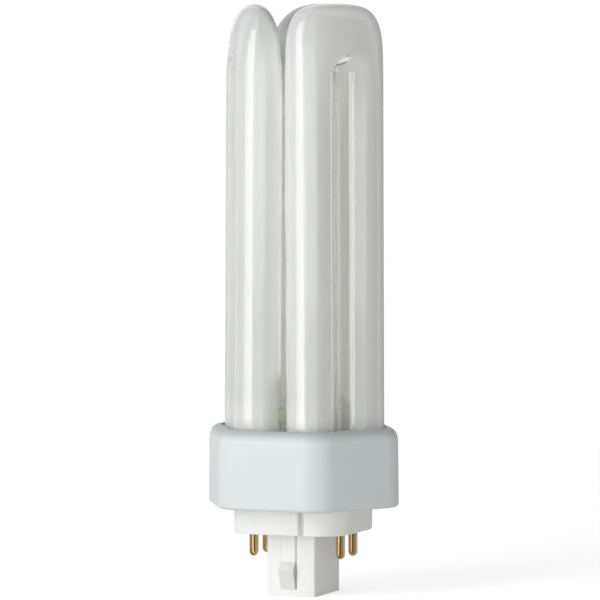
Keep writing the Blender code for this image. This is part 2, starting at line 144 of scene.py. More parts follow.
# Base: ring, flange and post
RING_Z = 15.7 * MM
RING_HALF_WIDTH = 15.2 * MM
RING_CORNER_RADIUS = 8.2 * MM
RING_DRAFT = 0.1 * MM
RING_EDGE = 0.4 * MM
RING_WALL = 1.6 * MM
FLOOR_THICKNESS = 2.5 * MM
FLANGE_GAP = 0.3 * MM
KEY_X = 5.3 * MM
KEY_WIDTH = 1.5 * MM
KEY_DEPTH = 1.8 * MM
KEY_WALL = 1.1 * MM
KEY_EDGE = 0.2 * MM
POST_HALF_WIDTH = 6.35 * MM
POST_HALF_DEPTH = 8.45 * MM
POST_TOP_Z = RING_Z + FLOOR_THICKNESS / 2
JOIN_Z = (COLLAR_Z + FLANGE_TOP_Z) / 2
POST_WALL = 1.3 * MM
POST_END_WALL = 1.2 * MM
POST_EDGE = 0.3 * MM
POST_END_EDGE = 0.15 * MM
EASED_STEPS = 3
BASE_SMOOTHING = math.radians(40)

# Latch tongue and its wedge
LATCH_X = -0.7 * MM
LATCH_HALF_WIDTH = 1.9 * MM
LATCH_SLIT = 0.24 * MM
LATCH_CRACK = 0.05 * MM
SLIT_EDGE = 0.22 * MM
SLIT_BOTTOM = 1.7 * MM
WEDGE_BOTTOM = 1.2 * MM
WEDGE_RIDGE = 6.4 * MM
WEDGE_TOP = 8.8 * MM
WEDGE_DEPTH = 1.7 * MM
WEDGE_FLAT = 0.5 * MM
WEDGE_EDGE = 0.25 * MM

# Pins
PIN_RADIUS = 1.15 * MM
PIN_BORE_RADIUS = 0.65 * MM
PIN_TIP_WALL = 1.6 * MM
PIN_TAIL = 2.2 * MM
PIN_SHOULDER_HEIGHT = 0.8 * MM
PIN_SIDES = 40
PIN_NODES = ["contact_pin_1", "contact_pin_2", "contact_pin_3", "contact_pin_4"]
PIN_SMOOTHING = math.radians(40)
WIRE_NODES = ["lead_wire_1", "lead_wire_2", "lead_wire_3", "lead_wire_4"]

# How far cutters and joined solids reach past the face that they cut or join
OVERLAP = 1.0 * MM

# A face looks a way when its normal's share along that way is more than this
FACING = 0.9

# Places of what the base has twice: as modelled, and half a turn round
FRONT_AND_BACK = (Matrix.Identity(4), Matrix.Diagonal((-1.0, -1.0, 1.0, 1.0)))

# The photograph's right and front, as directions in the lamp's frame
VIEW_AZIMUTH = math.radians(21.8)
VIEW_RIGHT = Vector((math.cos(VIEW_AZIMUTH), math.sin(VIEW_AZIMUTH), 0.0))
VIEW_FRONT = Vector((math.sin(VIEW_AZIMUTH), -math.cos(VIEW_AZIMUTH), 0.0))

# Mottle and grain: scales are repeats in each millimetre
MOTTLE_DETAIL = 3.0
MOTTLE_SPREAD = (0.35, 0.7)
GRAIN_DETAIL = 4.0
GLASS_MOTTLE = {
    "Colour": (0.64, 0.65, 0.64), "Shade": (0.62, 0.63, 0.62), "Roughness": 0.025,
    "Broad Scale": 0.07, "Grain Scale": 0.8, "Gloss Change": 0.03,
}
COLLAR_MOTTLE = {
    "Colour": (0.74, 0.79, 0.785), "Shade": (0.72, 0.775, 0.77), "Roughness": 0.42,
    "Broad Scale": 0.06, "Grain Scale": 5.0, "Gloss Change": 0.1,
}
BASE_MOTTLE = {
    "Colour": (0.94, 0.945, 0.93), "Shade": (0.92, 0.93, 0.91), "Roughness": 0.42,
    "Broad Scale": 0.12, "Grain Scale": 6.0, "Gloss Change": 0.1,
}
BRASS_MOTTLE = {
    "Colour": (0.74, 0.53, 0.27), "Shade": (0.58, 0.39, 0.18), "Roughness": 0.07,
    "Broad Scale": 1.4, "Grain Scale": 9.0, "Gloss Change": 0.09,
}
CEMENT_MOTTLE = {
    "Colour": (0.64, 0.62, 0.57), "Shade": (0.52, 0.50, 0.45), "Roughness": 0.8,
    "Broad Scale": 0.5, "Grain Scale": 3.0, "Gloss Change": 0.2,
}
WIRE_MOTTLE = {
    "Colour": (0.62, 0.60, 0.57), "Shade": (0.5, 0.47, 0.43), "Roughness": 0.26,
    "Broad Scale": 1.0, "Grain Scale": 8.0, "Gloss Change": 0.15,
}

# Shaders: what is the same all over each surface, and how strong and deep its relief is
GLASS_BODY = {
    "Subsurface Weight": 1.0, "Subsurface Radius": (1.0, 1.0, 0.95), "Subsurface Scale": 16.0 * MM,
    "Specular IOR Level": 0.8, "Coat Roughness": 0.35,
}
PLASTIC_BODY = {"Specular IOR Level": 0.35}
METAL_BODY = {"Metallic": 1.0}
PLASTIC_RELIEF = (0.15, 0.02 * MM)
BRASS_RELIEF = (0.2, 0.01 * MM)
CEMENT_RELIEF = (0.7, 0.1 * MM)
RIPPLE_RELIEF = (0.12, 0.05 * MM)
RIPPLE_SCALE = (900.0, 900.0, 25.0)
RIPPLE_DETAIL = 2.0
COAT_WEIGHT = 0.2
STAIN_DULLNESS = 0.9

# Tints of the glass's coat: whites are painted light, greys and dark are painted shade, and the neck green is
# bare glass darkened with painted shade
RIGHT_PAINTED_LIGHT = (0.715, 0.725, 0.715)
SEAM_PAINTED_SHADE = (0.45, 0.46, 0.44)
INSIDE_PAINTED_LIGHT = (0.995, 0.995, 0.975)
CROWN_PAINTED_SHADE = (0.42, 0.425, 0.42)
FOOT_PAINTED_LIGHT = (0.97, 0.975, 0.945)
HALO_PAINTED_SHADE = (0.40, 0.415, 0.34)
NECK_BARE_GLASS_AND_SHADE = (0.29, 0.305, 0.215)
ROOT_PAINTED_SHADE = (0.14, 0.15, 0.10)

# Soft steps of those tints: start, end and, where it isn't 1, the strength that they reach
RIGHT_STEP = (-6.0 * MM, 6.0 * MM)
SEAM_STEP = (0.4 * MM, 0.1 * MM, 0.3)
SEAM_HEIGHT_STEP = (RIM_Z + 90.0 * MM, RIM_Z + 99.0 * MM)
INSIDE_STEP = (15.0 * MM, 12.0 * MM)
INSIDE_HEIGHT_STEP = (RIM_Z + 92.0 * MM, RIM_Z + 80.0 * MM)
CROWN_STEP = (RIM_Z + 97.0 * MM, RIM_Z + 101.0 * MM, 0.8)
FOOT_STEP = (RIM_Z + 10.0 * MM, RIM_Z, 0.52)
HALO_STEP = (6.0 * MM, 1.5 * MM, 0.75)
NECK_STEP = (1.9 * MM, 0.9 * MM, 0.95)
CREASE_STEP = (0.4 * MM, 0.2 * MM, 0.7)
BAND_HEIGHT_STEP = (RIM_Z + 96.0 * MM, RIM_Z + 72.0 * MM)

# How far each tint reaches below and above the middle of a neck
HALO_REACH = (-3.0 * MM, 6.0 * MM)
NECK_REACH = (0.8 * MM - BRIDGE_RADIUS, BRIDGE_RADIUS - 0.8 * MM)
CREASE_REACH = (-BRIDGE_RADIUS, BRIDGE_RADIUS)

# Painted shade and highlight along the fold: rise over it, reach and tint of a faint shade line above, a
# highlight line on it and a dark shade line under it. All are as far out from it and as strong
FOLD_PAINTED_LIGHT_AND_SHADE = (
    (1.0 * MM, 0.3 * MM, (0.45, 0.46, 0.43)),
    (0.2 * MM, 0.6 * MM, (1.0, 1.0, 0.97)),
    (-0.75 * MM, 0.6 * MM, (0.16, 0.17, 0.12)),
)
FOLD_LINE_OUT = 0.4 * MM
FOLD_LINE_STRENGTH = 0.9

# Painted shade and painted highlights down the legs: tube, leg, bearing from the photograph's front, bottom
# and top over the rim and half width in millimetres, strength and tint
BAND_PAINTED_SHADE = (0.50, 0.51, 0.49)
STREAK_PAINTED_HIGHLIGHT = (1.0, 1.0, 0.96)
LOW_PAINTED_SHADE = (0.40, 0.42, 0.33)
PAINTED_LEG_BANDS = (
    (1, -1, 40, 0, 100, 3.4, 0.35, BAND_PAINTED_SHADE),
    (2, 1, 38, 0, 100, 2.8, 0.35, BAND_PAINTED_SHADE),
    (2, -1, -45, 0, 100, 2.2, 0.6, BAND_PAINTED_SHADE),
    (2, -1, 33, 0, 100, 2.6, 0.3, BAND_PAINTED_SHADE),
    (2, -1, -50, -1, 5, 3.6, 0.5, LOW_PAINTED_SHADE),
    (2, -1, -23, 0, 88, 0.42, 1.0, STREAK_PAINTED_HIGHLIGHT),
    (2, 1, 66, 0, 88, 0.42, 0.9, STREAK_PAINTED_HIGHLIGHT),
    (2, -1, -80, 0, 88, 3.2, 0.9, STREAK_PAINTED_HIGHLIGHT),
    (2, 1, 92, 0, 88, 1.6, 0.9, STREAK_PAINTED_HIGHLIGHT),
    (1, -1, 72, 89, 93, 0.35, 1.0, STREAK_PAINTED_HIGHLIGHT),
)

# Painted shade on the mouldings: the collar's rim greys upwards, the wedges outwards and downwards
RIM_PAINTED_SHADE = (0.40, 0.43, 0.425)
RIM_STEP = (RIM_Z - 3.0 * MM, RIM_Z, 0.75)
WEDGE_PAINTED_SHADE = (0.76, 0.77, 0.755)
WEDGE_OUT_STEP = (POST_HALF_DEPTH, POST_HALF_DEPTH + 0.3 * MM)
WEDGE_HEIGHT_STEP = (RING_Z - 3.0 * MM, RING_Z - 5.0 * MM)

# Camera
CAMERA_DISTANCE = 1.29
CAMERA_HEIGHT = 0.147
CAMERA_AIM_Z = 0.0733
CAMERA_LENS = 311.0
CAMERA_SENSOR = 36.0
IMAGE_SIZE = 600
AXIS_PIXEL = 303.4

# Lights. Bearings are in degrees from the photograph's front, to its right
SOFTBOXES = {
    "key_softbox": {
        "bearing": -46.0, "distance": 0.45, "width": 0.30, "height": 0.54,
        "centre_z": 0.27, "radiance": 2.65,
    },
    "front_softbox": {
        "bearing": 5.0, "distance": 0.8, "width": 0.92, "height": 0.24,
        "centre_z": 0.15, "radiance": 0.9,
    },
}
AMBIENT_LEVEL = 0.51
AMBIENT_SLOPE = -0.08 * VIEW_RIGHT - 0.05 * VIEW_FRONT
FLOOR_SIZE = 30.0
FLOOR_DROP = 0.05 * MM
FLOOR_ALBEDO = 0.88
FLOOR_GLOW_NEAR = 0.48
FLOOR_GLOW_FAR = 0.58
FLOOR_GLOW_REACH = (0.1, 1.0)
WHITE = (1.0, 1.0, 1.0)

# What polished surfaces see round the lamp: bearing, as for the lights, and level
STUDIO = (
    (-180, 1.0), (-168, 1.0), (-160, 0.6), (-140, 0.6), (-128, 0.9), (-112, 0.8), (-104, 0.35),
    (-84, 0.2), (-74, 0.35), (-44, 0.5), (-38, 1.7), (-24, 1.7), (-17, 0.12), (12, 0.12), (30, 0.35),
    (86, 0.4), (94, 1.0), (104, 1.0), (112, 0.4), (140, 0.25), (164, 0.25), (170, 1.0), (180, 1.0),
)


# Modelling


def start_piece(name):
    """Name the primitive that was just added and open it for shaping."""
    piece = bpy.context.object
    piece.name = name
    piece.data.name = name
    bpy.ops.object.mode_set(mode="EDIT")
    return piece


def end_piece(piece):
    """Leave edit mode with the faces pointing out and the place written into the mesh."""
    bpy.ops.mesh.select_all(action="SELECT")
    bpy.ops.mesh.remove_doubles(threshold=WELD_REACH)
    bpy.ops.mesh.normals_make_consistent(inside=False)
    bpy.ops.object.mode_set(mode="OBJECT")
    bpy.ops.object.transform_apply(location=True, rotation=True, scale=True)
    return piece


def make_active(piece):
    bpy.ops.object.select_all(action="DESELECT")
    piece.select_set(True)
    bpy.context.view_layer.objects.active = piece


def copy_piece(piece, name, place):
    """A copy with its own mesh, moved by a matrix."""
    twin = piece.copy()
    twin.data = piece.data.copy()
    twin.data.transform(place)
    twin.name = name
    twin.data.name = name
    bpy.context.collection.objects.link(twin)
    return twin


def pick_faces(piece, test):
    """In edit mode, select only the faces whose normal passes a test."""
    bpy.ops.mesh.select_mode(type="FACE")
    bpy.ops.mesh.select_all(action="DESELECT")
    mesh = bmesh.from_edit_mesh(piece.data)
    for face in mesh.faces:
        face.select_set(test(face.normal))
    bmesh.update_edit_mesh(piece.data)


def pick_edges(piece, test):
    """In edit mode, select only the edges whose two ends pass a test."""
    bpy.ops.mesh.select_mode(type="EDGE")
    bpy.ops.mesh.select_all(action="DESELECT")
    mesh = bmesh.from_edit_mesh(piece.data)
    for edge in mesh.edges:
        edge.select_set(test(edge.verts[0].co, edge.verts[1].co))
    mesh.select_flush_mode()
    bmesh.update_edit_mesh(piece.data)


def pick_top(piece):
    pick_faces(piece, lambda normal: normal.z > FACING)


def pick_bottom(piece):
    pick_faces(piece, lambda normal: normal.z < -FACING)


def pick_front(piece):
    pick_faces(piece, lambda normal: normal.y < -FACING)


def extrude(y=0.0, z=0.0):
    bpy.ops.mesh.extrude_region_move(TRANSFORM_OT_translate={"value": (0.0, y, z)})


def stretch(centre, x=1.0, y=1.0, z=1.0):
    bpy.ops.transform.resize(value=(x, y, z), center_override=centre)


def merge_with(piece, other, operation):
    """Join another piece to this one, or cut it away, and drop it."""
    modifier = piece.modifiers.new(operation.title(), "BOOLEAN")
    modifier.operation = operation
    modifier.solver = "EXACT"
    modifier.object = other
    make_active(piece)
    bpy.ops.object.modifier_apply(modifier=modifier.name)
    bpy.data.objects.remove(other, do_unlink=True)


def merge_copies(piece, pattern, places, operation):
    """Join or cut a copy of a pattern at each of its places, and drop the pattern."""
    for place in places:
        merge_with(piece, copy_piece(pattern, pattern.name, place), operation)
    bpy.data.objects.remove(pattern, do_unlink=True)


def shade(piece, angle):
    make_active(piece)
    bpy.ops.object.shade_smooth_by_angle(angle=angle)


def quarter_round(width, height):
    """Steps inward and upward that carry a wall's top edge round to its top face."""
    steps = []
    last = (0.0, 0.0)
    for step in range(1, EDGE_STEPS + 1):
        angle = math.pi / 2 * step / EDGE_STEPS
        here = (width * (1 - math.cos(angle)), height * math.sin(angle))
        steps.append((here[0] - last[0], here[1] - last[1]))
        last = here
    return steps


def round_face_edge(width, height):
    """Carry the walls round to the selected end face, in steps of inset and rise."""
    for inward, upward in quarter_round(width, height):
        bpy.ops.mesh.inset(thickness=inward, depth=upward, use_even_offset=True)


def add_disc(name, sides, radius, centre):
    """Start a piece from a filled circle, to be drawn up through its rings."""
    bpy.ops.object.select_all(action="DESELECT")
    bpy.ops.mesh.primitive_circle_add(vertices=sides, radius=radius, fill_type="NGON", location=centre)
    return start_piece(name)


def draw_rings(rings, x=0.0):
    """Extrude the selected end face through rings of width, depth and height."""
    for before, after in zip(rings, rings[1:]):
        extrude(z=after[2] - before[2])
        stretch((x, 0.0, after[2]), x=after[0] / before[0], y=after[1] / before[1])


# Glass


def tube_frame(index):
    """Place of one U tube: turned round the lamp, set out from its axis and leaning in."""
    turn = Matrix.Rotation(TUBE_TURNS[index], 4, "Z")
    shift = Matrix.Translation((0.0, TUBE_OFFSET, RIM_Z))
    return turn @ shift @ Matrix.Rotation(TUBE_LEAN, 4, "X")


def leg_frame(index, side):
    return tube_frame(index) @ Matrix.Translation((side * HALF_SPACING, 0.0, 0.0))


def leg_point(index, side, z):
    """Point on a leg's centre line, at a height over the lamp's foot."""
    return leg_frame(index, side) @ Vector((0.0, 0.0, z - RIM_Z))


def neck_ends(index):
    """The centres of the two legs that a fused neck joins."""
    return leg_point(index, -1, BRIDGE_Z), leg_point((index + 1) % len(TUBE_TURNS), 1, BRIDGE_Z)


def foot_rings(index, side):
    """Width and depth scales and height of the rings of a leg's end, from its tip upwards."""
    low = FOOT_Z - RIM_Z
    if (index, side) not in SEALED_LEGS:
        rings = []
        for step in range(1, FOOT_STEPS + 1):
            angle = math.pi / 2 * step / FOOT_STEPS
            rings.append((math.sin(angle), math.sin(angle), low + FOOT_DOME_HEIGHT * (1 - math.cos(angle))))
        return rings
    flat = SEAL_HALF_THICKNESS / TUBE_RADIUS
    rings = [(SEAL_WIDTH_SHARE, flat, low), (SEAL_WIDTH_SHARE, flat, low + SEAL_HEIGHT)]
    for step in range(1, FOOT_STEPS + 1):
        share = step / FOOT_STEPS
        width = SEAL_WIDTH_SHARE + (1 - SEAL_WIDTH_SHARE) * share
        depth = flat + (1 - flat) * math.sin(share * math.pi / 2)
        rings.append((width, depth, low + SEAL_HEIGHT + SEAL_SHOULDER * share))
    return rings


def square_the_top(piece, squareness):
    """Press the round bend into the squared, full top that the lamp's U tubes have."""
    half_width = HALF_SPACING + TUBE_RADIUS
    for vertex in piece.data.vertices:
        x, y, z = vertex.co
        rise = z - CROWN_BASE
        if rise <= LEVEL_REACH:
            continue
        reach_now = math.hypot(x, rise)
        ray = Vector((x / reach_now, 0.0, rise / reach_now))
        across = (reach_now - HALF_SPACING) / TUBE_RADIUS
        aside = y / TUBE_RADIUS
        power = ROUND + TOP_FULLNESS * (squareness - ROUND) * ray.z
        spread = (abs(ray.x) / half_width) ** squareness + (ray.z / CROWN_HEIGHT) ** squareness
        inner = ray * SLOT_HALF_WIDTH
        outer = ray * spread ** (-1 / squareness)
        middle = inner.lerp(outer, 0.5 + (TOP_BULGE - 0.5) * ray.z)
        end = outer if across > 0 else inner
        place = middle + (end - middle) * min(abs(across), 1.0) ** (2 / power)
        depth = math.copysign(min(abs(aside), 1.0) ** (2 / power), aside) * TUBE_RADIUS
        if across > SEAM_SHARE:
            place = place + ray * SEAM_RISE * math.sqrt(ray.z)
        vertex.co = (place.x, depth, place.z + CROWN_BASE)


def model_u_tube(index):
    """Draw up one leg from its foot, spin it over the slot and draw the other leg down."""
    foot = foot_rings(index, 1)
    width, depth, low = foot[0]
    tube = add_disc(f"u_tube_{index + 1}", GLASS_SIDES, TUBE_RADIUS, (HALF_SPACING, 0.0, low))
    stretch((HALF_SPACING, 0.0, low), x=width, y=depth)
    foot_top = foot[-1][2]
    straight = []
    for step in range(1, LEG_STEPS + 1):
        straight.append((1.0, 1.0, foot_top + (CROWN_BASE - foot_top) * step / LEG_STEPS))
    draw_rings(foot + straight, HALF_SPACING)
    bpy.ops.mesh.spin(steps=BEND_STEPS, angle=math.pi, center=(0.0, 0.0, CROWN_BASE), axis=(0.0, 1.0, 0.0))
    draw_rings(list(reversed(foot_rings(index, -1) + straight)), -HALF_SPACING)
    end_piece(tube)
    square_the_top(tube, TOP_SQUARENESS[index])
    tube.data.transform(tube_frame(index))
    return tube


def model_neck(name, start, end, waist, radius, flatness=1.0):
    """A short fused neck between two points, waisted in the middle and flared at its ends."""
    along = end - start
    rings = []
    for step in range(NECK_STEPS + 1):
        share = step / NECK_STEPS
        outward = abs(2 * share - 1)
        buried = min(1.0, outward / (1 - 2 * (TUBE_RADIUS - OVERLAP) / along.length))
        flare = max(outward ** NECK_FLARE_POWER, buried ** NECK_ROOT_POWER)
        reach = waist + (radius - waist) * flare
        rings.append((reach, reach, along.length * share))
    neck = add_disc(name, NECK_STEPS, rings[0][0], (0.0, 0.0, 0.0))
    draw_rings(rings)
    end_piece(neck)
    turn = along.to_track_quat("Z", "Y").to_matrix().to_4x4()
    thin_way = turn.to_3x3().inverted() @ Vector((-along.y, along.x, 0.0)).normalized()
    neck.data.transform(Matrix.Translation(start) @ turn @ Matrix.Scale(flatness, 4, thin_way))
    return neck


def model_glass():
    """The sealed glass: three U tubes with two fused necks, the exhaust tip and the fold."""
    glass = model_u_tube(0)
    for index in range(1, len(TUBE_TURNS)):
        merge_with(glass, model_u_tube(index), "UNION")
    for index in BRIDGED_TUBES:
        start, end = neck_ends(index)
        neck = model_neck("neck", start, end, BRIDGE_WAIST, BRIDGE_RADIUS, BRIDGE_FLATNESS)
        merge_with(glass, neck, "UNION")
    foot = leg_point(*EXHAUST_LEG, FOOT_Z)
    low = foot + Vector((0.0, 0.0, GLASS_LOW.z - FOOT_Z))
    high = foot + Vector((0.0, 0.0, OVERLAP))
    merge_with(glass, model_neck("tip", low, high, EXHAUST_WAIST, EXHAUST_RADIUS), "UNION")
    low, high = (tube_frame(FOLDED_TUBE) @ end for end in FOLD_ENDS)
    merge_with(glass, model_neck("fold", low, high, FOLD_RADIUS, FOLD_END_RADIUS), "UNION")
    glass.name = "fluorescent_glass"
    glass.data.name = "fluorescent_glass"
    shade(glass, GLASS_SMOOTHING)
    return glass


# Mouldings


def hexagon_block(name, inset, low, high):
    """A rounded hexagonal block with the collar's outline, a given way inside it."""
    reach = COLLAR_HALF_WIDTH - CORNER_RADIUS
    radius = CORNER_RADIUS - inset
    sharp = reach + radius / math.cos(HALF_SIDE_TURN)
    bpy.ops.object.select_all(action="DESELECT")
    bpy.ops.mesh.primitive_cylinder_add(
        vertices=HEXAGON_SIDES, radius=sharp, depth=high - low, location=(0.0, 0.0, (low + high) / 2),
        rotation=(0.0, 0.0, HALF_SIDE_TURN),
    )
    block = start_piece(name)
    round_corners(block, high - low, radius * math.tan(HALF_SIDE_TURN), CORNER_STEPS)
    return block


def square_block(name, half_x, half_y, low, high, radius, steps):
    """A block with a rectangular outline and round upright corners."""
    block = add_block(name, (-half_x, -half_y, low), (half_x, half_y, high))
    round_corners(block, high - low, radius, steps)
    return block


def add_block(name, low, high):
    """Start a piece from a block between two corners."""
    bpy.ops.object.select_all(action="DESELECT")
    centre = [(a + b) / 2 for a, b in zip(low, high)]
    bpy.ops.mesh.primitive_cube_add(size=1.0, location=centre)
    block = start_piece(name)
    bpy.ops.transform.resize(value=[b - a for a, b in zip(low, high)])
    return block


def round_corners(block, height, offset, steps):
    """Bevel the upright edges of a block."""
    pick_edges(block, lambda a, b: abs(a.z - b.z) > height / 2)
    bpy.ops.mesh.bevel(offset=offset, offset_type="OFFSET", segments=steps)


def add_rod(name, radius, low, high, sides):
    """An upright rod on the Z axis."""
    bpy.ops.object.select_all(action="DESELECT")
    bpy.ops.mesh.primitive_cylinder_add(
        vertices=sides, radius=radius, depth=high - low, location=(0.0, 0.0, (low + high) / 2)
    )
    return end_piece(start_piece(name))


def model_collar():
    """The hexagonal collar: rounded rim, sunk deck with six holes, and hollow underneath."""
    high = RIM_Z - RIM_EDGE_HEIGHT
    collar = hexagon_block("hexagonal_collar", 0.0, COLLAR_Z + BOTTOM_EDGE, high)
    pick_top(collar)
    draft = 1 - COLLAR_DRAFT / COLLAR_HALF_WIDTH
    stretch((0.0, 0.0, high), x=draft, y=draft)
    round_face_edge(RIM_EDGE_WIDTH, RIM_EDGE_HEIGHT)
    bpy.ops.mesh.inset(thickness=RIM_FLAT, depth=0.0)
    bpy.ops.mesh.inset(thickness=RECESS_SLOPE, depth=RECESS_FILLET - RECESS_DEPTH)
    for outward, downward in reversed(quarter_round(RECESS_FILLET, RECESS_FILLET)):
        bpy.ops.mesh.inset(thickness=outward, depth=-downward)
    pick_bottom(collar)
    round_face_edge(BOTTOM_EDGE, BOTTOM_EDGE)
    bpy.ops.mesh.inset(thickness=POCKET_WALL - BOTTOM_EDGE, depth=0.0)
    bpy.ops.mesh.inset(thickness=POCKET_SLOPE, depth=-LEDGE_RISE)
    bpy.ops.mesh.inset(thickness=COLLAR_WALL - POCKET_WALL, depth=0.0)
    deck_bottom = RIM_Z - RECESS_DEPTH - DECK_THICKNESS
    bpy.ops.mesh.inset(thickness=POCKET_SLOPE, depth=-(deck_bottom - COLLAR_Z - LEDGE_RISE))
    end_piece(collar)
    hole = add_rod("leg_hole", TUBE_RADIUS + HOLE_GAP, deck_bottom - OVERLAP - RIM_Z, 0.0, GLASS_SIDES)
    places = [leg_frame(index, side) for index in range(len(TUBE_TURNS)) for side in (-1, 1)]
    merge_copies(collar, hole, places, "DIFFERENCE")
    shade(collar, COLLAR_SMOOTHING)
    return collar


def model_wedge():
    """The snap wedge on the front latch tongue, drawn out of a block in the post's wall."""
    face = -POST_HALF_DEPTH
    low = (LATCH_X - LATCH_HALF_WIDTH, face, WEDGE_BOTTOM)
    high = (LATCH_X + LATCH_HALF_WIDTH, face + POST_WALL / 2, WEDGE_TOP)
    wedge = add_block("wedge", low, high)
    pick_front(wedge)
    extrude(y=-WEDGE_DEPTH)
    share = WEDGE_FLAT / (WEDGE_TOP - WEDGE_BOTTOM)
    pivot = (share * WEDGE_TOP - WEDGE_RIDGE - WEDGE_FLAT / 2) / (share - 1)
    stretch((LATCH_X, 0.0, pivot), z=share)
    pick_edges(wedge, lambda a, b: a.y + b.y < 2 * face - WEDGE_EDGE)
    bpy.ops.mesh.bevel(offset=WEDGE_EDGE, offset_type="OFFSET", segments=EASED_STEPS)
    return end_piece(wedge)


def model_slit(x, width, edge):
    """A cutter for a slit beside the front latch tongue, widening at its mouth by a round edge."""
    mouth = edge - POST_HALF_DEPTH
    back = POST_WALL + HOLE_GAP - POST_HALF_DEPTH
    slit = add_block("latch_slit", (x - width / 2, mouth, SLIT_BOTTOM), (x + width / 2, back, RING_Z))
    pick_front(slit)
    reach = width
    if edge:
        for outward, onward in reversed(quarter_round(edge, edge)):
            extrude(y=-onward)
            wider = reach + 2 * outward
            stretch((x, 0.0, 0.0), x=wider / reach)
            reach = wider
    extrude(y=-WEDGE_DEPTH)
    return end_piece(slit)


def cut_key_slots(base):
    """Cut the ring's two key slots, in walled pads, and ease the upright edges of their mouths."""
    half = KEY_WIDTH / 2
    back = KEY_DEPTH - RING_HALF_WIDTH
    low = (KEY_X - half - KEY_WALL, RING_WALL / 2 - RING_HALF_WIDTH, POST_TOP_Z)
    high = (KEY_X + half + KEY_WALL, back + KEY_WALL, JOIN_Z)
    merge_copies(base, end_piece(add_block("key_pad", low, high)), FRONT_AND_BACK, "UNION")
    low = (KEY_X - half, -RING_HALF_WIDTH - OVERLAP, RING_Z - OVERLAP)
    slot = end_piece(add_block("key_slot", low, (KEY_X + half, back, COLLAR_Z)))
    merge_copies(base, slot, FRONT_AND_BACK, "DIFFERENCE")

    def beside_mouth(a, b):
        middle = (a + b) / 2 if a.y < 0 else (a + b) / -2
        return (
            abs(a.z - b.z) > OVERLAP
            and abs(abs(middle.x - KEY_X) - half) < KEY_EDGE / 4
            and abs(middle.y + RING_HALF_WIDTH - RING_DRAFT) < RING_DRAFT
        )

    make_active(base)
    bpy.ops.object.mode_set(mode="EDIT")
    pick_edges(base, beside_mouth)
    bpy.ops.mesh.bevel(offset=KEY_EDGE, offset_type="OFFSET", segments=EASED_STEPS)
    bpy.ops.object.mode_set(mode="OBJECT")


def model_base():
    """The base: ring, post and flange in one moulding, with its wedges, slots and pin holes."""
    base = square_block(
        "plug_base", RING_HALF_WIDTH, RING_HALF_WIDTH, RING_Z + RING_EDGE, JOIN_Z, RING_CORNER_RADIUS,
        CORNER_STEPS,
    )
    pick_bottom(base)
    draft = 1 - RING_DRAFT / RING_HALF_WIDTH
    stretch((0.0, 0.0, RING_Z), x=draft, y=draft)
    round_face_edge(RING_EDGE, RING_EDGE)
    end_piece(base)
    flange = hexagon_block("flange", POCKET_WALL + FLANGE_GAP, COLLAR_Z, FLANGE_TOP_Z)
    merge_with(base, end_piece(flange), "UNION")

    post = square_block(
        "post", POST_HALF_WIDTH, POST_HALF_DEPTH, POST_END_EDGE, POST_TOP_Z, POST_EDGE, EDGE_STEPS // 2
    )
    pick_bottom(post)
    round_face_edge(POST_END_EDGE, POST_END_EDGE)
    merge_with(base, end_piece(post), "UNION")

    hollow_reach = RING_HALF_WIDTH - RING_WALL
    floor_top = RING_Z + FLOOR_THICKNESS
    hollow = square_block(
        "ring_hollow", hollow_reach, hollow_reach, floor_top, FLANGE_TOP_Z + OVERLAP,
        RING_CORNER_RADIUS - RING_WALL, CORNER_STEPS,
    )
    merge_with(base, end_piece(hollow), "DIFFERENCE")
    low = (POST_WALL - POST_HALF_WIDTH, POST_WALL - POST_HALF_DEPTH, POST_END_WALL)
    high = (POST_HALF_WIDTH - POST_WALL, POST_HALF_DEPTH - POST_WALL, floor_top + OVERLAP)
    merge_with(base, end_piece(add_block("post_hollow", low, high)), "DIFFERENCE")

    cut_key_slots(base)
    slit_x = LATCH_X + LATCH_HALF_WIDTH + LATCH_SLIT / 2
    crack_x = LATCH_X - LATCH_HALF_WIDTH - LATCH_CRACK / 2
    merge_copies(base, model_slit(slit_x, LATCH_SLIT, SLIT_EDGE), FRONT_AND_BACK, "DIFFERENCE")
    merge_copies(base, model_slit(crack_x, LATCH_CRACK, 0.0), FRONT_AND_BACK, "DIFFERENCE")
    merge_copies(base, model_wedge(), FRONT_AND_BACK, "UNION")
    hole = add_rod("pin_hole", PIN_RADIUS + HOLE_GAP, RING_Z - OVERLAP, POST_TOP_Z + 2 * OVERLAP, PIN_SIDES)
    merge_copies(base, hole, [pin_place(node) for node in PIN_NODES], "DIFFERENCE")
    shade(base, BASE_SMOOTHING)
    return base


# Pins


def pin_place(node):
    """Shift from the Z axis to the axis of a pin in the frame."""
    low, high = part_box(node)
    return Matrix.Translation(((low.x + high.x) / 2, (low.y + high.y) / 2, 0.0))


def model_pin():
    """A drawn brass pin on the Z axis: domed tip, shoulder, tail and bore, drawn ring by ring."""
    low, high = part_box(PIN_NODES[0])
    shoulder_radius = (high.x - low.x) / 2
    rings = []
    for step in range(1, EDGE_STEPS + 1):
        angle = math.pi / 2 * step / EDGE_STEPS
        rings.append((PIN_RADIUS * math.sin(angle), low.z + PIN_RADIUS * (1 - math.cos(angle))))
    shoulder_top = high.z - PIN_TAIL
    shoulder_z = shoulder_top - PIN_SHOULDER_HEIGHT
    rings += [
        (PIN_RADIUS, shoulder_z),
        (shoulder_radius, shoulder_z),
        (shoulder_radius, shoulder_top),
        (PIN_RADIUS, shoulder_top),
        (PIN_RADIUS, high.z),
        (PIN_BORE_RADIUS, high.z),
        (PIN_BORE_RADIUS, low.z + PIN_TIP_WALL),
    ]
    pin = add_disc("pin_pattern", PIN_SIDES, rings[0][0], (0.0, 0.0, rings[0][1]))
    draw_rings([(reach, reach, z) for reach, z in rings])
    end_piece(pin)
    shade(pin, PIN_SMOOTHING)
    return pin


# Finishes


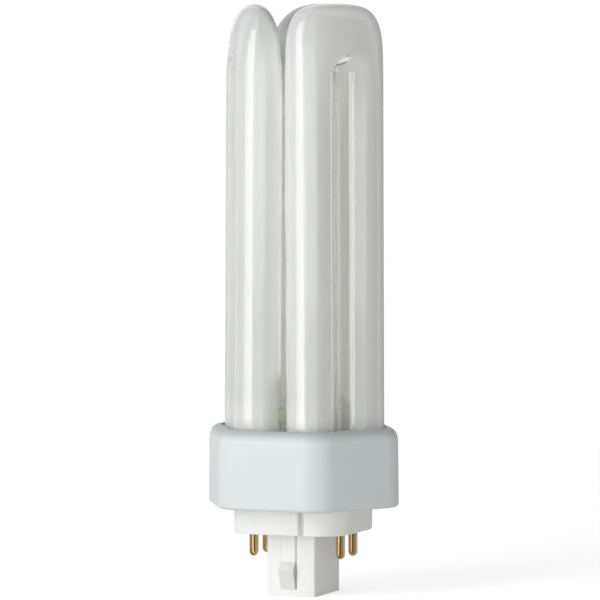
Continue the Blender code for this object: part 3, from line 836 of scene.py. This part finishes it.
def from_view(bearing):
    """Direction at a bearing in degrees from the photograph's front, to its right."""
    return Matrix.Rotation(math.radians(bearing), 3, "Z") @ VIEW_FRONT


def add_node(tree, kind, **settings):
    node = tree.nodes.new(kind)
    for name, value in settings.items():
        setattr(node, name, value)
    return node


def plug(tree, value, socket):
    """Link the output of a node to a socket, or set a plain number, vector or colour on it."""
    if isinstance(value, bpy.types.NodeSocket):
        tree.links.new(value, socket)
    elif socket.type == "RGBA":
        socket.default_value = (*value, 1.0)
    else:
        socket.default_value = value


def calculate(tree, operation, *values):
    """One step of arithmetic with numbers."""
    node = add_node(tree, "ShaderNodeMath", operation=operation)
    for value, socket in zip(values, node.inputs):
        plug(tree, value, socket)
    return node.outputs["Value"]


def calculate_vector(tree, operation, *values, output="Vector"):
    """One step of arithmetic with vectors."""
    node = add_node(tree, "ShaderNodeVectorMath", operation=operation)
    for value, socket in zip(values, node.inputs):
        plug(tree, value, socket)
    return node.outputs[output]


def soft_step(tree, value, start, end, high=1.0, low=0.0):
    """Go smoothly from a low to a high level as a value goes from start to end."""
    step = add_node(tree, "ShaderNodeMapRange", interpolation_type="SMOOTHSTEP")
    for name, level in (("From Min", start), ("From Max", end), ("To Min", low), ("To Max", high)):
        step.inputs[name].default_value = level
    tree.links.new(value, step.inputs["Value"])
    return step.outputs["Result"]


def mix_colour(tree, factor, first, second):
    """Blend from one colour to another; each is a socket or three numbers."""
    mix = add_node(tree, "ShaderNodeMix", data_type="RGBA")
    plug(tree, factor, mix.inputs["Factor"])
    plug(tree, first, mix.inputs["A"])
    plug(tree, second, mix.inputs["B"])
    return mix.outputs["Result"]


def distance_from_line(tree, place, start, end):
    """Distance from the straight line between two points."""
    along = end - start
    offset = calculate_vector(tree, "SUBTRACT", place, start)
    share = calculate_vector(tree, "DOT_PRODUCT", offset, along / along.length_squared, output="Value")
    within = add_node(tree, "ShaderNodeClamp")
    tree.links.new(share, within.inputs["Value"])
    nearest = add_node(tree, "ShaderNodeVectorMath", operation="SCALE")
    nearest.inputs["Vector"].default_value = along
    tree.links.new(within.outputs["Result"], nearest.inputs["Scale"])
    return calculate_vector(tree, "DISTANCE", offset, nearest.outputs["Vector"], output="Value")


def add_noise(tree, vector, scale, detail):
    noise = add_node(tree, "ShaderNodeTexNoise")
    plug(tree, vector, noise.inputs["Vector"])
    plug(tree, scale, noise.inputs["Scale"])
    plug(tree, detail, noise.inputs["Detail"])
    return noise.outputs["Fac"]


def mottle_group():
    """Soft broad mottling of a colour, with fine grain for its gloss and its relief."""
    group = bpy.data.node_groups.new("mottle and grain", "ShaderNodeTree")
    for name, kind in (
        ("Vector", "NodeSocketVector"),
        ("Colour", "NodeSocketColor"),
        ("Shade", "NodeSocketColor"),
        ("Roughness", "NodeSocketFloat"),
        ("Broad Scale", "NodeSocketFloat"),
        ("Grain Scale", "NodeSocketFloat"),
        ("Gloss Change", "NodeSocketFloat"),
    ):
        group.interface.new_socket(name, in_out="INPUT", socket_type=kind)
    for name, kind in (
        ("Colour", "NodeSocketColor"),
        ("Roughness", "NodeSocketFloat"),
        ("Height", "NodeSocketFloat"),
    ):
        group.interface.new_socket(name, in_out="OUTPUT", socket_type=kind)
    given = add_node(group, "NodeGroupInput").outputs
    result = add_node(group, "NodeGroupOutput").inputs

    broad = add_noise(group, given["Vector"], given["Broad Scale"], MOTTLE_DETAIL)
    spread = add_node(group, "ShaderNodeMapRange")
    spread.inputs["From Min"].default_value, spread.inputs["From Max"].default_value = MOTTLE_SPREAD
    plug(group, broad, spread.inputs["Value"])
    colour = mix_colour(group, spread.outputs["Result"], given["Colour"], given["Shade"])
    plug(group, colour, result["Colour"])

    grain = add_noise(group, given["Vector"], given["Grain Scale"], GRAIN_DETAIL)
    plug(group, grain, result["Height"])
    gloss = calculate(group, "MULTIPLY_ADD", grain, given["Gloss Change"], given["Roughness"])
    plug(group, gloss, result["Roughness"])
    return group


def begin_finish(name, group, mottle_values, body, drawn=1.0):
    """A material whose mottle runs in millimetres, drawn out along Z where it says so.

    Gives the material, its nodes, its shader, the place on the piece and the mottle.
    """
    material = bpy.data.materials.new(name)
    material.use_nodes = True
    tree = material.node_tree
    shader = tree.nodes["Principled BSDF"]
    for socket, value in body.items():
        shader.inputs[socket].default_value = value
    place = add_node(tree, "ShaderNodeTexCoord").outputs["Object"]
    mapping = add_node(tree, "ShaderNodeMapping")
    mapping.inputs["Scale"].default_value = (1 / MM, 1 / MM, drawn / MM)
    tree.links.new(place, mapping.inputs["Vector"])
    mottle = add_node(tree, "ShaderNodeGroup")
    mottle.node_tree = group
    tree.links.new(mapping.outputs["Vector"], mottle.inputs["Vector"])
    for socket, value in mottle_values.items():
        plug(tree, value, mottle.inputs[socket])
    return material, tree, shader, place, mottle.outputs


def add_relief(tree, shader, height, relief):
    """Relief of a strength and a depth."""
    bump = add_node(tree, "ShaderNodeBump")
    bump.inputs["Strength"].default_value, bump.inputs["Distance"].default_value = relief
    tree.links.new(height, bump.inputs["Height"])
    tree.links.new(bump.outputs["Normal"], shader.inputs["Normal"])


def give_surface(tree, shader, colour, mottle, relief=None):
    """Give a shader a colour, the mottle's roughness and, where it has relief, its grain."""
    plug(tree, colour, shader.inputs["Base Color"])
    plug(tree, mottle["Roughness"], shader.inputs["Roughness"])
    if relief:
        add_relief(tree, shader, mottle["Height"], relief)


def axes_of(tree, place):
    split = add_node(tree, "ShaderNodeSeparateXYZ")
    tree.links.new(place, split.inputs["Vector"])
    return split.outputs


def seam_painted_shade(tree, place, height, colour):
    """Painted shade: a fine grey line along the mould seam over the outside of each crown."""
    nearest = 0.0
    for index in range(len(TUBE_TURNS)):
        outward = tube_frame(index).to_3x3() @ Vector((0.0, 1.0, 0.0))
        along = calculate_vector(tree, "DOT_PRODUCT", place, outward, output="Value")
        aside = calculate(tree, "SUBTRACT", along, outward.dot(tube_frame(index).translation))
        near = soft_step(tree, calculate(tree, "ABSOLUTE", aside), *SEAM_STEP)
        nearest = calculate(tree, "MAXIMUM", nearest, near)
    high = soft_step(tree, height, *SEAM_HEIGHT_STEP)
    return mix_colour(tree, calculate(tree, "MULTIPLY", nearest, high), colour, SEAM_PAINTED_SHADE)


def coat_painted_light_and_shade(tree, place, height, colour):
    """Painted light and shade on the coat: whiter towards the view's right, a painted shade line on the crown
    seams, and painted light and shade that change with height.
    """
    across = calculate_vector(tree, "DOT_PRODUCT", place, VIEW_RIGHT, output="Value")
    colour = mix_colour(tree, soft_step(tree, across, *RIGHT_STEP), colour, RIGHT_PAINTED_LIGHT)
    colour = seam_painted_shade(tree, place, height, colour)

    # Painted light, whitest where the tubes face each other, and painted shade, dimmer where the three crowns
    # close over it
    level = calculate_vector(tree, "MULTIPLY", place, (1.0, 1.0, 0.0))
    inside = soft_step(tree, calculate_vector(tree, "LENGTH", level, output="Value"), *INSIDE_STEP)
    for step, tint in ((INSIDE_HEIGHT_STEP, INSIDE_PAINTED_LIGHT), (CROWN_STEP, CROWN_PAINTED_SHADE)):
        share = calculate(tree, "MULTIPLY", inside, soft_step(tree, height, *step))
        colour = mix_colour(tree, share, colour, tint)

    # Painted light: the coat is whiter low on the legs, towards the collar, where they sit in shade
    return mix_colour(tree, soft_step(tree, height, *FOOT_STEP), colour, FOOT_PAINTED_LIGHT)


def upright_mask(tree, place, point, reach, step):
    """Mask round an upright line through a point, from its reach below to its reach above."""
    low, high = (point + Vector((0.0, 0.0, way)) for way in reach)
    return soft_step(tree, distance_from_line(tree, place, low, high), *step)


def neck_glass_and_painted_shade(tree, place, colour):
    """Round each fused neck: bare, slightly green glass darkened with painted shade, in a wider olive patch
    of painted shade, with a dark line of painted shade at its root.
    """
    bare_and_shaded_necks = 0.0
    for index in BRIDGED_TUBES:
        start, end = neck_ends(index)
        middle = start.lerp(end, 0.5)
        root = start.lerp(end, TUBE_RADIUS / (end - start).length)
        halo = upright_mask(tree, place, middle, HALO_REACH, HALO_STEP)
        colour = mix_colour(tree, halo, colour, HALO_PAINTED_SHADE)
        bare_and_shaded = upright_mask(tree, place, middle, NECK_REACH, NECK_STEP)
        colour = mix_colour(tree, bare_and_shaded, colour, NECK_BARE_GLASS_AND_SHADE)
        root_shade = upright_mask(tree, place, root, CREASE_REACH, CREASE_STEP)
        colour = mix_colour(tree, root_shade, colour, ROOT_PAINTED_SHADE)
        bare_and_shaded_necks = calculate(tree, "MAXIMUM", bare_and_shaded_necks, bare_and_shaded)
    return colour, bare_and_shaded_necks


def fold_painted_light_and_shade(tree, place, colour):
    """Painted shade and highlight on the fold pressed into the glass over the front slot: a faint shade line
    above it, a highlight line on it and a dark shade line under it.
    """
    for rise, reach, tint in FOLD_PAINTED_LIGHT_AND_SHADE:
        shift = Vector((0.0, FOLD_LINE_OUT, rise))
        low, high = (tube_frame(FOLDED_TUBE) @ (end + shift) for end in FOLD_ENDS)
        line = distance_from_line(tree, place, low, high)
        mask = soft_step(tree, line, reach, reach / 2, FOLD_LINE_STRENGTH)
        colour = mix_colour(tree, mask, colour, tint)
    return colour


def leg_painted_light_and_shade(tree, place, height, colour):
    """Painted shade and painted highlights down the legs: grey bands of painted shade that fade upwards,
    white streaks of painted highlight, and a green patch of painted shade low by the slot.
    """
    fading = soft_step(tree, height, *BAND_HEIGHT_STEP)
    for tube, side, turn, bottom, top, reach, strength, tint in PAINTED_LEG_BANDS:
        out = from_view(turn) * TUBE_RADIUS
        low, high = (leg_point(tube, side, RIM_Z + rise * MM) + out for rise in (bottom, top))
        line = distance_from_line(tree, place, low, high)
        band = soft_step(tree, line, reach * MM, reach / 2 * MM, strength)
        if tint == BAND_PAINTED_SHADE:
            band = calculate(tree, "MULTIPLY", band, fading)
        colour = mix_colour(tree, band, colour, tint)
    return colour


def glass_finish(group):
    """White coat behind clear glass: milky white with a hard clear gloss over it."""
    material, tree, shader, place, mottle = begin_finish(
        "phosphor coated glass", group, GLASS_MOTTLE, GLASS_BODY, drawn=0.35
    )
    shader.subsurface_method = "BURLEY"
    height = axes_of(tree, place)["Z"]
    # Painted light and shade over the coat's mottle: on the coat, round the necks, on the fold and down the
    # legs
    colour = coat_painted_light_and_shade(tree, place, height, mottle["Colour"])
    colour, bare_and_shaded_necks = neck_glass_and_painted_shade(tree, place, colour)
    colour = fold_painted_light_and_shade(tree, place, colour)
    colour = leg_painted_light_and_shade(tree, place, height, colour)
    plug(tree, colour, shader.inputs["Base Color"])

    # Bare glass round the necks is duller and has no coat of gloss
    dull = calculate(tree, "MULTIPLY_ADD", bare_and_shaded_necks, STAIN_DULLNESS, mottle["Roughness"])
    plug(tree, dull, shader.inputs["Roughness"])
    gloss = calculate(tree, "MULTIPLY_ADD", bare_and_shaded_necks, -COAT_WEIGHT, COAT_WEIGHT)
    plug(tree, gloss, shader.inputs["Coat Weight"])

    # Long faint ripples that drawing leaves down a glass tube
    ripple = add_node(tree, "ShaderNodeMapping")
    ripple.inputs["Scale"].default_value = RIPPLE_SCALE
    tree.links.new(place, ripple.inputs["Vector"])
    waves = add_noise(tree, ripple.outputs["Vector"], 1.0, RIPPLE_DETAIL)
    add_relief(tree, shader, waves, RIPPLE_RELIEF)
    return material


def collar_finish(group):
    """Off-white plastic whose rounded rim is painted greyer upwards, as painted shade."""
    material, tree, shader, place, mottle = begin_finish("collar plastic", group, COLLAR_MOTTLE, PLASTIC_BODY)
    rim_shade = soft_step(tree, axes_of(tree, place)["Z"], *RIM_STEP)
    colour = mix_colour(tree, rim_shade, mottle["Colour"], RIM_PAINTED_SHADE)
    give_surface(tree, shader, colour, mottle, PLASTIC_RELIEF)
    return material


def base_finish(group):
    """White plastic whose wedges are painted a little greyer than the post they stand on, as painted shade.
    """
    material, tree, shader, place, mottle = begin_finish("base plastic", group, BASE_MOTTLE, PLASTIC_BODY)
    axes = axes_of(tree, place)
    out = soft_step(tree, calculate(tree, "ABSOLUTE", axes["Y"]), *WEDGE_OUT_STEP)
    low = soft_step(tree, axes["Z"], *WEDGE_HEIGHT_STEP)
    colour = mix_colour(tree, calculate(tree, "MULTIPLY", out, low), mottle["Colour"], WEDGE_PAINTED_SHADE)
    give_surface(tree, shader, colour, mottle, PLASTIC_RELIEF)
    return material


def plain_finish(name, group, mottle_values, body, drawn=1.0, relief=None):
    """A finish that is all mottle and grain."""
    material, tree, shader, _, mottle = begin_finish(name, group, mottle_values, body, drawn)
    give_surface(tree, shader, mottle["Colour"], mottle, relief)
    return material


def dress(piece, material, slot, *nodes):
    """Give a new piece its finish, and let it stand for the nodes that it replaces."""
    piece.data.materials.clear()
    piece.data.materials.append(material)
    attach(piece, "root")
    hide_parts(*nodes)


def dress_node(node, material):
    """Give a node that is kept its finish."""
    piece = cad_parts[node]
    piece.data.materials.clear()
    piece.data.materials.append(material)


# Stage, light and camera


def studio_group():
    """Brightness of the studio by its bearing round the lamp, as polished surfaces show it."""
    group = bpy.data.node_groups.new("studio panels", "ShaderNodeTree")
    group.interface.new_socket("Vector", in_out="INPUT", socket_type="NodeSocketVector")
    group.interface.new_socket("Colour", in_out="OUTPUT", socket_type="NodeSocketColor")
    given = add_node(group, "NodeGroupInput").outputs["Vector"]
    result = add_node(group, "NodeGroupOutput").inputs["Colour"]
    right = calculate_vector(group, "DOT_PRODUCT", given, VIEW_RIGHT, output="Value")
    front = calculate_vector(group, "DOT_PRODUCT", given, VIEW_FRONT, output="Value")
    share = add_node(group, "ShaderNodeMapRange")
    share.inputs["From Min"].default_value = -math.pi
    share.inputs["From Max"].default_value = math.pi
    plug(group, calculate(group, "ARCTAN2", right, front), share.inputs["Value"])
    ramp = add_node(group, "ShaderNodeValToRGB")
    stops = ramp.color_ramp.elements
    while len(stops) < len(STUDIO):
        stops.new(0.5)
    for stop, (bearing, level) in zip(stops, STUDIO):
        stop.position = (bearing + 180) / 360
        stop.color = (level, level, level, 1.0)
    plug(group, share.outputs["Result"], ramp.inputs["Fac"])
    plug(group, ramp.outputs["Color"], result)
    return group


def add_studio(tree, group, vector):
    panels = add_node(tree, "ShaderNodeGroup")
    panels.node_tree = group
    tree.links.new(vector, panels.inputs["Vector"])
    return panels.outputs["Colour"]


def seen_by_eye(tree):
    """Masks for the rays of a gloss, and for what the camera sees, straight on or through glass."""
    path = add_node(tree, "ShaderNodeLightPath").outputs
    seen = calculate(tree, "MAXIMUM", path["Is Camera Ray"], path["Is Transmission Ray"])
    return path["Is Glossy Ray"], seen


def floor_finish(group):
    """White to the camera with the lamp's soft shadow kept, and the studio in the gloss."""
    material = bpy.data.materials.new("white floor")
    material.use_nodes = True
    tree = material.node_tree
    tree.nodes.clear()
    glossy, seen = seen_by_eye(tree)
    place = add_node(tree, "ShaderNodeTexCoord").outputs["Object"]
    away = calculate_vector(tree, "LENGTH", place, output="Value")
    level = soft_step(tree, away, *FLOOR_GLOW_REACH, FLOOR_GLOW_FAR, FLOOR_GLOW_NEAR)
    glow = add_node(tree, "ShaderNodeEmission")
    plug(tree, calculate(tree, "MULTIPLY", seen, level), glow.inputs["Strength"])
    diffuse = add_node(tree, "ShaderNodeBsdfDiffuse")
    diffuse.inputs["Color"].default_value = (FLOOR_ALBEDO, FLOOR_ALBEDO, FLOOR_ALBEDO, 1.0)
    lit = add_node(tree, "ShaderNodeAddShader")
    plug(tree, diffuse.outputs["BSDF"], lit.inputs[0])
    plug(tree, glow.outputs["Emission"], lit.inputs[1])
    mirrored = add_node(tree, "ShaderNodeEmission")
    plug(tree, add_studio(tree, group, place), mirrored.inputs["Color"])
    choice = add_node(tree, "ShaderNodeMixShader")
    plug(tree, glossy, choice.inputs["Fac"])
    plug(tree, lit.outputs["Shader"], choice.inputs[1])
    plug(tree, mirrored.outputs["Emission"], choice.inputs[2])
    output = add_node(tree, "ShaderNodeOutputMaterial")
    plug(tree, choice.outputs["Shader"], output.inputs["Surface"])
    return material


def make_floor(group):
    bpy.ops.object.select_all(action="DESELECT")
    bpy.ops.mesh.primitive_plane_add(size=FLOOR_SIZE, location=(0.0, 0.0, -FLOOR_DROP))
    floor = bpy.context.object
    floor.name = "studio_floor"
    floor.data.materials.append(floor_finish(group))


def make_world(group):
    """White to the camera, even light on surfaces, and panels and dark gaps in the gloss."""
    world = bpy.data.worlds.new("studio")
    bpy.context.scene.world = world
    world.use_nodes = True
    tree = world.node_tree
    tree.nodes.clear()
    glossy, seen = seen_by_eye(tree)
    way = add_node(tree, "ShaderNodeTexCoord").outputs["Generated"]
    slope = calculate_vector(tree, "DOT_PRODUCT", way, AMBIENT_SLOPE, output="Value")
    ambient = calculate(tree, "ADD", slope, AMBIENT_LEVEL)
    mirrored = mix_colour(tree, glossy, ambient, add_studio(tree, group, way))
    background = add_node(tree, "ShaderNodeBackground")
    plug(tree, mix_colour(tree, seen, mirrored, WHITE), background.inputs["Color"])
    output = add_node(tree, "ShaderNodeOutputWorld")
    plug(tree, background.outputs["Background"], output.inputs["Surface"])


def make_softbox(name, bearing, distance, width, height, centre_z, radiance):
    """A soft rectangular light that faces the lamp's axis."""
    light = bpy.data.lights.new(name, "AREA")
    light.shape = "RECTANGLE"
    light.size = width
    light.size_y = height
    light.energy = radiance * math.pi * width * height
    softbox = bpy.data.objects.new(name, light)
    bpy.context.scene.collection.objects.link(softbox)
    out = from_view(bearing)
    softbox.location = out * distance + Vector((0.0, 0.0, centre_z))
    softbox.rotation_euler = out.to_track_quat("Z", "Y").to_euler()
    softbox.visible_camera = False


def make_camera():
    """The photograph's view, with the lamp's axis at its column of the image."""
    eye = VIEW_FRONT * CAMERA_DISTANCE + Vector((0.0, 0.0, CAMERA_HEIGHT))
    aim = Vector((0.0, 0.0, CAMERA_AIM_Z))
    lens = bpy.data.cameras.new("camera")
    lens.lens = CAMERA_LENS
    lens.sensor_width = CAMERA_SENSOR
    lens.shift_x = -(AXIS_PIXEL - IMAGE_SIZE / 2) / IMAGE_SIZE
    camera = bpy.data.objects.new("camera", lens)
    camera.location = eye
    camera.rotation_euler = (aim - eye).to_track_quat("-Z", "Y").to_euler()
    bpy.context.scene.collection.objects.link(camera)
    bpy.context.scene.camera = camera


def main():
    group = mottle_group()
    dress(model_glass(), glass_finish(group), "coated_glass", "discharge_tube")
    dress(model_collar(), collar_finish(group), "collar_plastic", "tube_collar")
    dress(model_base(), base_finish(group), "base_plastic", "base_cap")
    brass = plain_finish("drawn brass", group, BRASS_MOTTLE, METAL_BODY, drawn=0.12, relief=BRASS_RELIEF)
    pattern = model_pin()
    for node in PIN_NODES:
        dress(copy_piece(pattern, f"brass_{node}", pin_place(node)), brass, "pin_brass", node)
    bpy.data.objects.remove(pattern, do_unlink=True)
    cement = plain_finish("bonding cement", group, CEMENT_MOTTLE, {}, relief=CEMENT_RELIEF)
    dress_node("bonding_cement", cement)
    nickel = plain_finish("nickel wire", group, WIRE_MOTTLE, METAL_BODY, drawn=0.2)
    for node in WIRE_NODES:
        dress_node(node, nickel)
    studio = studio_group()
    make_floor(studio)
    make_world(studio)
    for name, settings in SOFTBOXES.items():
        make_softbox(name, **settings)
    make_camera()
    bpy.context.scene.view_settings.view_transform = "Standard"


main()
